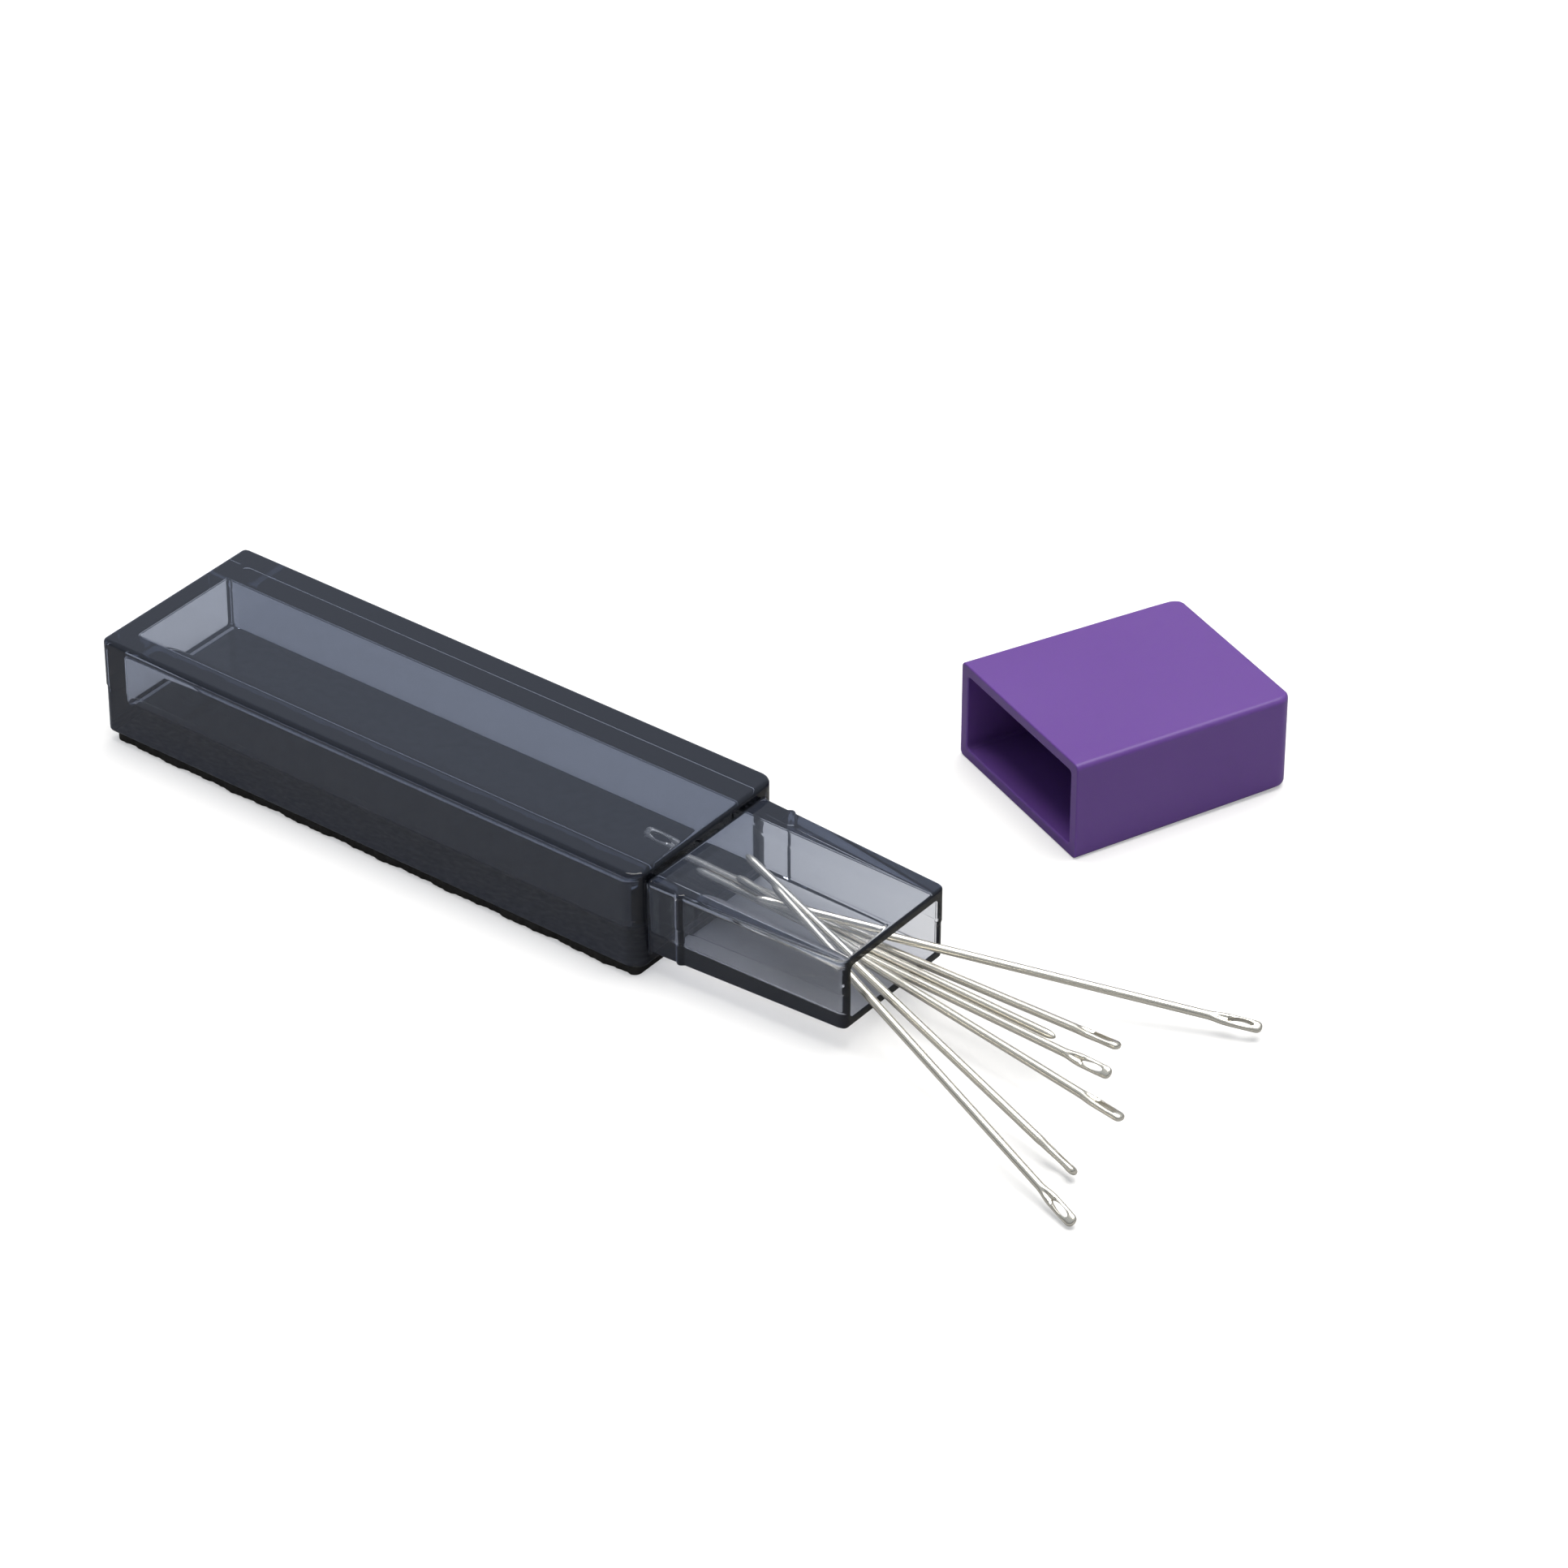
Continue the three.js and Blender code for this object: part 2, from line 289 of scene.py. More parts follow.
def flare(radius, steps=6):
    """Distances from a plane, and how much wider a ring at each is, for a quarter round that opens towards
    the plane: the radius times one less the cosine, and times one less the sine, of an even angle."""
    turn = np.linspace(0, math.pi / 2, steps)
    return radius * (1 - np.cos(turn)), radius * (1 - np.sin(turn))


class Loft:
    """A list of rounded-rectangle stations along X, from which one closed body is made."""

    def __init__(self):
        self.stations = []

    def add(self, x, half_width, half_height, radius, seam_step=0.0):
        """Adds one station, or several where an entry is an array."""
        entries = (x, half_width, half_height, radius, seam_step)
        rows = np.broadcast_arrays(*(np.atleast_1d(entry) for entry in entries))
        self.stations.append(np.stack(rows, axis=-1).astype(float))

    def convex_end(self, plane, inward, half_width, half_height, radius, radius_y, radius_z, seam_step=0.0):
        """Adds the rings of an edge that rounds off towards an end plane. inward is 1 or -1 along X, into
        the body: 1 starts at the plane, and -1 ends there."""
        distance, inset_y, inset_z = rounding(radius_y, radius_z)
        if inward < 0:
            distance, inset_y, inset_z = distance[::-1], inset_y[::-1], inset_z[::-1]
        corner = np.maximum(radius - inset_z, LEAST_CORNER)
        self.add(plane + inward * distance, half_width - inset_y, half_height - inset_z, corner, seam_step)

    def turn_last(self):
        """Puts the stations that were added last in the opposite order."""
        self.stations[-1] = self.stations[-1][::-1]

    def body(self):
        """Points and quads of the closed body."""
        return lofted(rounded_sections(*np.concatenate(self.stations).T))


# ---------------------------------------------------------------- materials


def add_node(tree, kind, place=(0, 0), **values):
    """A node of a kind in a node tree, with the values of its own settings."""
    node = tree.nodes.new(kind)
    node.location = place
    for key, value in values.items():
        setattr(node, key, value)
    return node


def grain_group():
    """Shared node group: noise at a given scale, stretched to run from a low to a high value over the
    surface."""
    found = bpy.data.node_groups.get("moulded grain")
    if found:
        return found
    group = bpy.data.node_groups.new("moulded grain", "ShaderNodeTree")
    face = group.interface
    face.new_socket(name="Vector", in_out="INPUT", socket_type="NodeSocketVector")
    for name, default in (("Scale", 200.0), ("Detail", 3.0), ("Low", 0.0), ("High", 1.0)):
        face.new_socket(name=name, in_out="INPUT", socket_type="NodeSocketFloat").default_value = default
    face.new_socket(name="Value", in_out="OUTPUT", socket_type="NodeSocketFloat")
    start = add_node(group, "NodeGroupInput", (-500, 0))
    noise = add_node(group, "ShaderNodeTexNoise", (-300, 0))
    spread = add_node(group, "ShaderNodeMapRange", (-100, 0))
    spread.inputs["From Min"].default_value = 0.3
    spread.inputs["From Max"].default_value = 0.7
    end = add_node(group, "NodeGroupOutput", (100, 0))
    group.links.new(start.outputs["Vector"], noise.inputs["Vector"])
    group.links.new(start.outputs["Scale"], noise.inputs["Scale"])
    group.links.new(start.outputs["Detail"], noise.inputs["Detail"])
    group.links.new(noise.outputs["Fac"], spread.inputs["Value"])
    group.links.new(start.outputs["Low"], spread.inputs["To Min"])
    group.links.new(start.outputs["High"], spread.inputs["To Max"])
    group.links.new(spread.outputs["Result"], end.inputs["Value"])
    return group


def new_material(name):
    """An empty node material: its tree, its Principled shader and its output."""
    material = bpy.data.materials.new(name)
    material.use_nodes = True
    tree = material.node_tree
    tree.nodes.clear()
    shader = add_node(tree, "ShaderNodeBsdfPrincipled", (0, 0))
    output = add_node(tree, "ShaderNodeOutputMaterial", (600, 0))
    tree.links.new(shader.outputs["BSDF"], output.inputs["Surface"])
    return material, tree, shader, output


def grain(tree, vector, scale, low, high, detail=3.0, place=(-500, 0)):
    """Places the shared grain group in a material and returns its value socket."""
    node = add_node(tree, "ShaderNodeGroup", place, node_tree=grain_group())
    node.inputs["Scale"].default_value = scale
    node.inputs["Detail"].default_value = detail
    node.inputs["Low"].default_value = low
    node.inputs["High"].default_value = high
    tree.links.new(vector, node.inputs["Vector"])
    return node.outputs["Value"]


def bump(tree, shader, height, strength, distance):
    """Feeds a height into the shader's normal."""
    node = add_node(tree, "ShaderNodeBump", (-200, -400))
    node.inputs["Strength"].default_value = strength
    node.inputs["Distance"].default_value = distance
    tree.links.new(height, node.inputs["Height"])
    tree.links.new(node.outputs["Normal"], shader.inputs["Normal"])


def mixed(tree, factor, first, second, place=(-250, 200)):
    """A colour between two colours, by a factor that changes over the surface."""
    node = add_node(tree, "ShaderNodeMix", place, data_type="RGBA")
    node.inputs["A"].default_value = (*first, 1)
    node.inputs["B"].default_value = (*second, 1)
    tree.links.new(factor, node.inputs["Factor"])
    return node.outputs["Result"]


def painted_sheen(tree, settings):
    """Painted sheen: an even glow on clear plastic in place of the reflection of a wide soft light. It is
    the Fresnel share of that light's colour, by how far the surface faces the light, for the camera alone.
    It stands in for a grainy reflection."""
    # Direction the painted sheen's light seems to come from; no lamp stands there.
    light_direction = (0, -0.35, 0.65)
    face = add_node(tree, "ShaderNodeNewGeometry", (-500, 900))
    toward = add_node(tree, "ShaderNodeVectorMath", (-250, 900), operation="DOT_PRODUCT")
    toward.inputs[1].default_value = light_direction
    share = add_node(tree, "ShaderNodeFresnel", (-500, 1100))
    share.inputs["IOR"].default_value = PLASTIC_IOR
    facing = add_node(tree, "ShaderNodeMath", (0, 900), operation="MULTIPLY", use_clamp=True)
    ray = add_node(tree, "ShaderNodeLightPath", (-250, 1300))
    seen = add_node(tree, "ShaderNodeMath", (200, 900), operation="MULTIPLY")
    glow = add_node(tree, "ShaderNodeEmission", (400, 900))
    glow.inputs["Color"].default_value = (*settings.painted_sheen, 1)
    tree.links.new(face.outputs["Normal"], toward.inputs[0])
    tree.links.new(toward.outputs["Value"], facing.inputs[0])
    tree.links.new(share.outputs["Fac"], facing.inputs[1])
    tree.links.new(facing.outputs[0], seen.inputs[0])
    tree.links.new(ray.outputs["Is Camera Ray"], seen.inputs[1])
    tree.links.new(seen.outputs[0], glow.inputs["Strength"])
    return glow.outputs["Emission"]


def smoke_plastic(settings):
    """Clear plastic with a smoke tint in its depth. Light for shadows passes straight through: each surface
    darkens it a little, and the depth darkens it by the tint."""
    material, tree, shader, output = new_material("smoke plastic")
    shader.inputs["Base Color"].default_value = (1, 1, 1, 1)
    shader.inputs["Transmission Weight"].default_value = 1.0
    shader.inputs["IOR"].default_value = PLASTIC_IOR
    shader.inputs["Specular Tint"].default_value = (0.6, 0.6, 0.6, 1)
    spot = add_node(tree, "ShaderNodeTexCoord", (-900, 0)).outputs["Object"]
    tree.links.new(grain(tree, spot, scale=90, low=0.0, high=0.012), shader.inputs["Roughness"])
    swell = grain(tree, spot, scale=60, low=0.0, high=1.0, detail=1.0, place=(-500, -400))
    bump(tree, shader, swell, strength=0.05, distance=0.05 * MM)
    clear = add_node(tree, "ShaderNodeBsdfTransparent", (0, 300))
    clear.inputs["Color"].default_value = (0.7, 0.68, 0.65, 1)
    ray = add_node(tree, "ShaderNodeLightPath", (0, 600))
    choose = add_node(tree, "ShaderNodeMixShader", (350, 100))
    tree.links.new(ray.outputs["Is Shadow Ray"], choose.inputs["Fac"])
    tree.links.new(shader.outputs["BSDF"], choose.inputs[1])
    tree.links.new(clear.outputs["BSDF"], choose.inputs[2])
    # Adds the painted sheen, a glow for the camera alone in place of a reflection.
    plastic_with_painted_sheen = add_node(tree, "ShaderNodeAddShader", (600, 300))
    tree.links.new(choose.outputs["Shader"], plastic_with_painted_sheen.inputs[0])
    tree.links.new(painted_sheen(tree, settings), plastic_with_painted_sheen.inputs[1])
    tree.links.new(plastic_with_painted_sheen.outputs["Shader"], output.inputs["Surface"])
    absorb = add_node(tree, "ShaderNodeVolumeAbsorption", (350, -200))
    absorb.inputs["Color"].default_value = (*settings.tint, 1)
    absorb.inputs["Density"].default_value = settings.tint_density
    tree.links.new(absorb.outputs["Volume"], output.inputs["Volume"])
    return material


def black_strip(settings):
    """Dull black strip with a faint unevenness of tone and gloss."""
    material, tree, shader, _ = new_material("black strip")
    spot = add_node(tree, "ShaderNodeTexCoord", (-900, 0)).outputs["Object"]
    scuff = grain(tree, spot, scale=120, low=0.0, high=1.0, place=(-500, 200))
    pale = tuple(1.5 * channel for channel in settings.strip_colour)
    tree.links.new(mixed(tree, scuff, settings.strip_colour, pale), shader.inputs["Base Color"])
    tree.links.new(grain(tree, spot, scale=900, low=0.6, high=0.9), shader.inputs["Roughness"])
    pitting = grain(tree, spot, scale=900, low=0.0, high=1.0, detail=2.0, place=(-500, -400))
    bump(tree, shader, pitting, strength=0.03, distance=0.01 * MM)
    return material


def purple_plastic(settings):
    """Opaque moulded plastic: pigment a little uneven, a satin gloss, and a very fine orange-peel bump."""
    material, tree, shader, _ = new_material("purple plastic")
    spot = add_node(tree, "ShaderNodeTexCoord", (-900, 0)).outputs["Object"]
    cloud = grain(tree, spot, scale=60, low=0.0, high=1.0, detail=4.0, place=(-500, 200))
    tree.links.new(mixed(tree, cloud, settings.plastic, settings.deep_plastic), shader.inputs["Base Color"])
    tree.links.new(grain(tree, spot, scale=120, low=0.30, high=0.36), shader.inputs["Roughness"])
    peel = grain(tree, spot, scale=1400, low=0.0, high=1.0, place=(-500, -400))
    bump(tree, shader, peel, strength=0.12, distance=0.02 * MM)
    shader.inputs["IOR"].default_value = PLASTIC_IOR
    shader.inputs["Subsurface Weight"].default_value = 0.4
    shader.inputs["Specular IOR Level"].default_value = 0.3
    shader.inputs["Subsurface Radius"].default_value = (0.6, 0.25, 1.0)
    shader.inputs["Subsurface Scale"].default_value = 1.2 * MM
    return material


def needle_steel(settings):
    """Nickel-plated steel with drawing marks that run along the needle."""
    material, tree, shader, _ = new_material("needle steel")
    uv = add_node(tree, "ShaderNodeUVMap", (-1100, 0), uv_map="along").outputs["UV"]
    stretch = add_node(tree, "ShaderNodeMapping", (-900, 0))
    stretch.inputs["Scale"].default_value = (6, 40, 1)
    tree.links.new(uv, stretch.inputs["Vector"])
    streak = stretch.outputs["Vector"]
    dull = tuple(0.86 * channel for channel in settings.steel)
    shader.inputs["Metallic"].default_value = 0.9
    tone = grain(tree, streak, scale=1.0, low=0.0, high=1.0, detail=4.0, place=(-500, 200))
    tree.links.new(mixed(tree, tone, settings.steel, dull), shader.inputs["Base Color"])
    gloss = grain(tree, streak, scale=1.0, low=0.22, high=0.3, detail=2.0)
    tree.links.new(gloss, shader.inputs["Roughness"])
    marks = grain(tree, streak, scale=2.0, low=0.0, high=1.0, detail=1.0, place=(-500, -400))
    bump(tree, shader, marks, strength=0.02, distance=0.01 * MM)
    return material


def floor_paint(settings):
    """Matt pale floor with the faintest change of tone. It looks whiter to the camera than its bounced light
    is, and darker in a mirror image."""
    mirrored_share = 0.5
    material, tree, shader, output = new_material("floor paint")
    spot = add_node(tree, "ShaderNodeTexCoord", (-900, 0)).outputs["Object"]
    tone = grain(tree, spot, scale=20, low=0.0, high=1.0)
    dim = tuple(0.99 * channel for channel in settings.floor_colour)
    shade = add_node(tree, "ShaderNodeMix", (-100, 200), data_type="RGBA")
    tree.links.new(mixed(tree, tone, settings.floor_colour, dim), shade.inputs["A"])
    dark = tuple(mirrored_share * channel for channel in settings.floor_colour)
    shade.inputs["B"].default_value = (*dark, 1)
    tree.links.new(shade.outputs["Result"], shader.inputs["Base Color"])
    shader.inputs["Roughness"].default_value = 0.9
    shader.inputs["Specular IOR Level"].default_value = 0.0
    glow = add_node(tree, "ShaderNodeEmission", (0, 400))
    ray = add_node(tree, "ShaderNodeLightPath", (-500, 400))
    whiten = add_node(tree, "ShaderNodeMath", (-250, 400), operation="MULTIPLY")
    whiten.inputs[1].default_value = settings.whitening
    both = add_node(tree, "ShaderNodeAddShader", (350, 200))
    mirrored = add_node(tree, "ShaderNodeMath", (-300, 600), operation="SUBTRACT", use_clamp=True)
    tree.links.new(ray.outputs["Is Glossy Ray"], mirrored.inputs[0])
    tree.links.new(ray.outputs["Is Transmission Ray"], mirrored.inputs[1])
    tree.links.new(mirrored.outputs[0], shade.inputs["Factor"])
    tree.links.new(ray.outputs["Is Camera Ray"], whiten.inputs[0])
    tree.links.new(whiten.outputs[0], glow.inputs["Strength"])
    tree.links.new(glow.outputs["Emission"], both.inputs[0])
    tree.links.new(shader.outputs["BSDF"], both.inputs[1])
    tree.links.new(both.outputs["Shader"], output.inputs["Surface"])
    return material


# ---------------------------------------------------------------- shapes


def add_body(loft, case, low_x, shoulder_x):
    """Adds the closed body: the slit in its end face, the end's quarter rounds and the shoulder's."""
    step = case.seam_step
    half_width = (CASE_HIGH.y - CASE_LOW.y) / 2 - step
    half_height = (CASE_HIGH.z - CASE_LOW.z) / 2
    size = (half_width, half_height, case.edge_radius)
    loft.add(low_x, half_width - case.end_radius, SLIT_HALF_HEIGHT, LEAST_CORNER, step)
    loft.convex_end(low_x, 1, *size, case.end_radius, case.edge_radius, step)
    loft.convex_end(shoulder_x, -1, *size, case.shoulder_radius, case.edge_radius, step)


def add_neck(loft, case, shoulder_x, mouth_x):
    """Adds the neck: a fillet out of the shoulder, an even taper to the mouth and the lip's quarter round.
    A snap bead is a full cosine wave on the half width, from trough to trough, made fuller by a power."""
    root_width, root_height = case.neck_root_width / 2, case.neck_root_height / 2
    mouth_width, mouth_height = case.neck_mouth_width / 2, case.neck_mouth_height / 2
    radius, step = case.neck_radius, case.seam_step
    fillet, lip, lip_corner = 0.25 * MM, 0.4 * MM, 0.9 * MM
    bead_fullness, bead_reach = 0.7, 1.2
    out, wider = flare(fillet, 5)
    loft.add(shoulder_x + out, root_width + wider, root_height + wider, radius, step)
    plain = np.linspace(fillet, mouth_x - shoulder_x - lip_corner, 24)
    bead = case.bead_from_shoulder + case.bead_half_width * np.linspace(-bead_reach, bead_reach, 17)
    along = np.unique(np.concatenate([plain, bead]))[1:]
    share = along / (mouth_x - shoulder_x)
    phase = np.clip((along - case.bead_from_shoulder) / case.bead_half_width, -1, 1)
    swell = case.bead_stand * (0.5 + 0.5 * np.cos(math.pi * phase)) ** bead_fullness
    width = root_width + (mouth_width - root_width) * share + swell
    height = root_height + (mouth_height - root_height) * share
    loft.add(shoulder_x + along, width, height, radius, step)
    loft.convex_end(mouth_x, -1, mouth_width, mouth_height, radius, lip_corner, lip, step)


def add_cavity(loft, case, bottom_x, mouth_x):
    """Adds the cavity's walls: a quarter round in from the lip, and the rounding at the bottom."""
    half_width, half_height = case.cavity_width / 2, case.cavity_height / 2
    edge, corner, bottom_round = 0.2 * MM, 0.6 * MM, 0.5 * MM
    back, wider = flare(edge)
    loft.add(mouth_x - back, half_width + wider, half_height + wider, corner)
    loft.convex_end(bottom_x, 1, half_width, half_height, corner, bottom_round, bottom_round)
    loft.turn_last()
    loft.add(bottom_x, half_width - bottom_round, SLIT_HALF_HEIGHT, LEAST_CORNER)


def case_body_shape(case):
    """One closed surface of rounded rectangles along X: the closed end, the body, the shoulder, the neck,
    the lip, and the cavity's walls back to its end wall."""
    loft = Loft()
    shoulder_x = CASE_LOW.x + case.body_length
    add_body(loft, case, CASE_LOW.x, shoulder_x)
    add_neck(loft, case, shoulder_x, CASE_HIGH.x)
    add_cavity(loft, case, CASE_LOW.x + case.end_wall, CASE_HIGH.x)
    points, quads = loft.body()
    middle = Vector((0, 0, (CASE_LOW.z + CASE_HIGH.z) / 2))
    return points + np.array(middle), quads


def base_strip_shape():
    """A thin plate in four layers, with small bevels below and above. Each long edge is a straight line
    moved in and out by a sum of seeded sine waves, as if cut by hand, and the corners are quarter rounds."""
    random = np.random.default_rng(7)
    length_x, width_y = STRIP_HIGH.x - STRIP_LOW.x, STRIP_HIGH.y - STRIP_LOW.y
    corner, set_back = 1.0 * MM, 0.25 * MM
    low_bevel, low_trim = 0.15 * MM, 0.12 * MM
    high_bevel, high_trim = 0.1 * MM, 0.08 * MM
    into_case = 0.02 * MM
    end = corner * (1 - np.cos(np.linspace(0, math.pi / 2, 8)))
    x = np.concatenate([end, np.linspace(corner, length_x - corner, 380)[1:-1], length_x - end[::-1]])
    reach = np.clip(np.minimum(x, length_x - x), 0, corner)
    inset = corner - np.sqrt(corner**2 - (corner - reach) ** 2)

    def ragged():
        """Offsets of one long edge. Each wave has its number to the metre and its height in millimetres."""
        waves = np.zeros_like(x)
        for waves_per_metre, height in ((90, 0.10), (230, 0.07), (520, 0.05), (1100, 0.03)):
            turn = 2 * math.pi * waves_per_metre * random.uniform(0.9, 1.1)
            waves += height * MM * np.sin(turn * x + random.uniform(0, 2 * math.pi))
        return waves - set_back

    far = width_y / 2 - inset + ragged()
    near = -(width_y / 2 - inset + ragged())
    low, high = STRIP_LOW.z, STRIP_HIGH.z + into_case
    heights = ((low, low_trim), (low + low_bevel, 0.0), (high - high_bevel, 0.0), (high, high_trim))
    around = np.concatenate([x, x[::-1]]) + STRIP_LOW.x
    layers = []
    for z, trim in heights:
        y = np.concatenate([far - trim, (near + trim)[::-1]])
        layers.append(np.stack([around, y, np.full_like(y, z)], axis=-1))
    return lofted(np.array(layers))


def cap_shape(cap):
    """One closed surface of rounded rectangles along its own axis: the closed end, the outside with its
    draft, the rim, and the hollow back to its bottom. It is turned about Z and moved to the frame's cap."""
    loft = Loft()
    mouth = np.array([cap.mouth_width, cap.mouth_height]) / 2
    end = np.array([cap.end_width, cap.end_height]) / 2
    rim = cap.rim_radius
    loft.add(cap.length, end[0] - cap.end_corner_radius, SLIT_HALF_HEIGHT, LEAST_CORNER)
    loft.convex_end(cap.length, -1, *end, cap.edge_radius, cap.end_corner_radius, cap.edge_radius)
    loft.turn_last()
    along = np.linspace(cap.length - 2 * cap.end_corner_radius, 2 * rim, 12)
    share = along[:, None] / cap.length
    size = mouth + (end - mouth) * share
    loft.add(along, size[:, 0], size[:, 1], cap.edge_radius)
    loft.convex_end(0, 1, *mouth, cap.edge_radius, rim, rim)
    loft.turn_last()
    back, wider = flare(rim)
    hollow = mouth - cap.wall
    hollow_end = end - cap.wall
    inner_radius, hollow_round = 0.5 * MM, 0.6 * MM
    loft.add(back, hollow[0] + wider, hollow[1] + wider, inner_radius)
    loft.convex_end(cap.depth, -1, *hollow_end, inner_radius, hollow_round, hollow_round)
    loft.add(cap.depth, hollow_end[0] - hollow_round, SLIT_HALF_HEIGHT, LEAST_CORNER)
    points, quads = loft.body()
    heading = math.atan2(CAP_AXIS[1], CAP_AXIS[0])
    turned = points @ np.array(Matrix.Rotation(heading, 3, "Z")).T
    low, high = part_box("cap")
    box_middle = (np.array(low) + np.array(high)) / 2
    own_middle = (turned.min(axis=0) + turned.max(axis=0)) / 2
    return turned + box_middle - own_middle, quads


def surface_moments(node):
    """Centre of a frame node's surface, the two axes of its longest spreads, and its reach along the first.
    Each triangle adds its area times the sum of its corners' outer products and nine times its centre's,
    over twelve."""
    mesh = frame["nodes"][node].data
    mesh.calc_loop_triangles()
    corner = np.empty(len(mesh.loop_triangles) * 3, np.int32)
    mesh.loop_triangles.foreach_get("vertices", corner)
    points = np.empty(len(mesh.vertices) * 3, np.float32)
    mesh.vertices.foreach_get("co", points)
    points = points.reshape(-1, 3).astype(float)
    triangles = points[corner.reshape(-1, 3)]
    sides = np.cross(triangles[:, 1] - triangles[:, 0], triangles[:, 2] - triangles[:, 0])
    area = np.linalg.norm(sides, axis=1) / 2
    centre = np.average(triangles.mean(axis=1), axis=0, weights=area)
    local = triangles - centre
    middle = local.mean(axis=1)
    corner_spread = np.einsum("t,tci,tcj->ij", area, local, local)
    middle_spread = np.einsum("t,ti,tj->ij", area, middle, middle)
    _, axes = np.linalg.eigh((corner_spread + 9 * middle_spread) / 12)
    along = (points - centre) @ axes[:, 2]
    return centre, axes[:, 2], axes[:, 1], along.min(), along.max()


def needle_rows(needle, long):
    """Distances of a needle's rows from its eye end, and which rows cross the eye. They crowd together at
    both ends of the needle and of the eye, as the cosine or sine of an even angle does. The first and last
    rows stand just short of the ends, by small angles."""
    short_of_end, short_of_tip = 0.06, 0.05
    eye_end = needle.eye_start + needle.eye_length
    dome = EYE_END_ROUND * (1 - np.cos(np.linspace(short_of_end, math.pi / 2, 12)))
    before = np.linspace(EYE_END_ROUND, needle.eye_start, 4)[1:-1]
    eye = needle.eye_start + needle.eye_length * (0.5 - 0.5 * np.cos(np.linspace(0, math.pi, 34)))
    taper = np.linspace(eye_end, needle.head_length, 26)[1:]
    shaft = np.linspace(needle.head_length, long - needle.tip_length, 30)[1:]
    tip_turn = np.linspace(0, math.pi / 2 - short_of_tip, 14)[1:]
    tip = long - needle.tip_length * (1 - np.sin(tip_turn))
    s = np.concatenate([dome, before, eye, taper, shaft, tip])
    first_eye = len(dome) + len(before)
    open_row = np.zeros(len(s), bool)
    open_row[first_eye + 1 : first_eye + len(eye) - 1] = True
    return s, open_row


def needle_profile(needle, long, s):
    """Half width, half thickness and superellipse power of each row. The head's measures change to the
    shaft's by a smooth step, and both shrink to a superellipse at the eye end and to a circle at the tip."""
    end_power, head_power = 2.4, 2.5
    narrowing, broadest_share = 0.06, 0.4
    eye_end = needle.eye_start + needle.eye_length
    ease = np.clip((s - eye_end) / (needle.head_length - eye_end), 0, 1)
    ease = ease * ease * (3 - 2 * ease)
    end_share = np.clip((EYE_END_ROUND - s) / EYE_END_ROUND, 0, 1)
    end_form = (1 - end_share**end_power) ** (1 / end_power)
    tip_share = np.clip((s - long + needle.tip_length) / needle.tip_length, 0, 1)
    tip_form = np.sqrt(np.maximum(1 - tip_share**2, 0))
    broadest = needle.eye_start + broadest_share * needle.eye_length
    belly = 1 - narrowing * np.clip((broadest - s) / needle.eye_length, 0, 1)
    width = needle.head_half_width * belly * (1 - ease) + needle.shaft_radius * ease
    thickness = needle.head_half_thickness * (1 - ease) + needle.shaft_radius * ease
    power = 2 / (head_power * (1 - ease) + 2 * ease)
    return width * end_form * tip_form, thickness * end_form * tip_form, power


def needle_quads(open_row, across):
    """Quads of a needle, whose points are its right half rings and then its left ones. Where the eye is
    open, a wall closes each half ring. Elsewhere the two halves share their first and last columns."""
    rows = len(open_row)
    right = np.arange(rows * across).reshape(rows, across)
    left = right + rows * across
    for column in (0, across - 1):
        left[~open_row, column] = right[~open_row, column]

    def skin(half):
        """Quads between the neighbouring rows of a half."""
        corners = [half[:-1, :-1], half[1:, :-1], half[1:, 1:], half[:-1, 1:]]
        return np.stack(corners, axis=-1).reshape(-1, 4)

    def wall(half):
        """Quads from the top to the bottom of a half, along the eye."""
        beside_eye = open_row[:-1] | open_row[1:]
        corners = [half[:-1, 0], half[:-1, -1], half[1:, -1], half[1:, 0]]
        return np.stack(corners, axis=-1)[beside_eye]

    def lid(row):
        """Quads that close both halves of an end row, from the top columns to the bottom ones."""
        top = np.arange(across // 2 - 1)
        low = across - 1 - top
        one = [right[row, top], right[row, top + 1], right[row, low - 1], right[row, low]]
        two = [left[row, top], left[row, low], left[row, low - 1], left[row, top + 1]]
        return np.concatenate([np.stack(one, axis=-1), np.stack(two, axis=-1)])

    halves = [skin(right), skin(left)[:, ::-1], wall(right), wall(left)[:, ::-1]]
    return np.concatenate([*halves, lid(0), lid(rows - 1)[:, ::-1]])


